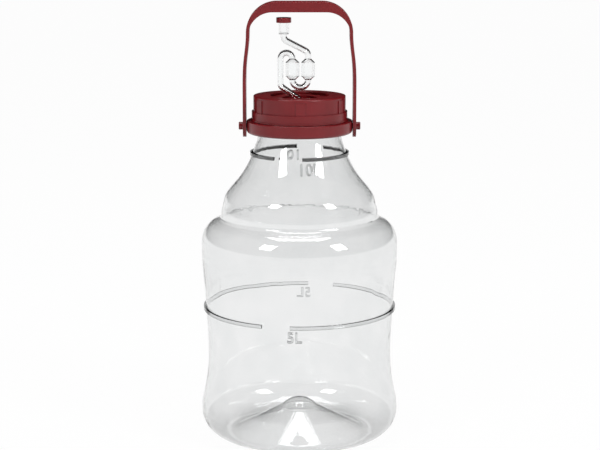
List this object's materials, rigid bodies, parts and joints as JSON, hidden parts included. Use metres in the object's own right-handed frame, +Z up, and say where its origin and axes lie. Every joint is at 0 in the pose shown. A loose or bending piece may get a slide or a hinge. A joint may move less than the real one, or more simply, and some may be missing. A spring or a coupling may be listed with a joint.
{
  "type": "demijohn",
  "caption": "Wide-neck clear plastic demijohn with a hollow push-up base, screw cap, bubbler airlock and a swinging carrying handle on a neck collar.",
  "frame": {"origin": "centre of the foot, on the ground, where the bottle's axis meets it", "axes": "+Z up along the bottle's axis; -Y is the front with the volume marks; the handle's pins lie along X"},
  "size_m": [0.2246, 0.2246, 0.493],
  "materials": {
    "clear_plastic": "clear blown plastic",
    "red_plastic": "satin moulded plastic",
    "seal_rubber": "soft matt",
    "airlock_plastic": "clear moulded plastic"
  },
  "bodies": {
    "bottle": {"bottle": "clear_plastic"},
    "seal": {"cap_seal": "seal_rubber"},
    "cap": {"cap": "red_plastic", "grommet": "seal_rubber"},
    "airlock": {"airlock": "airlock_plastic", "dust_cap": "red_plastic"},
    "collar": {"collar": "red_plastic"},
    "handle": {"handle": "red_plastic"}
  },
  "joints": [
    {"name": "cap_rise", "type": "slide", "parent": "bottle", "child": "seal", "axis": [0, 0, 1], "range_m": [0, 0.005]},
    {"name": "cap_turn", "type": "hinge", "parent": "seal", "child": "cap", "pos_m": [0, 0, 0.375], "axis": [0, 0, 1], "range_deg": [0, 450]},
    {"name": "airlock_turn", "type": "hinge", "parent": "cap", "child": "airlock", "pos_m": [0, 0, 0.371], "axis": [0, 0, 1], "continuous": true},
    {"name": "collar_turn", "type": "hinge", "parent": "bottle", "child": "collar", "pos_m": [0, 0, 0.3484], "axis": [0, 0, 1], "continuous": true},
    {"name": "handle_swing", "type": "hinge", "parent": "collar", "child": "handle", "pos_m": [0, 0, 0.3544], "axis": [1, 0, 0], "range_deg": [-128, 128]}
  ],
  "couplings": [
    {"joint": "cap_rise", "follows": "cap_turn", "m_per_rad": 0.00063662}
  ]
}
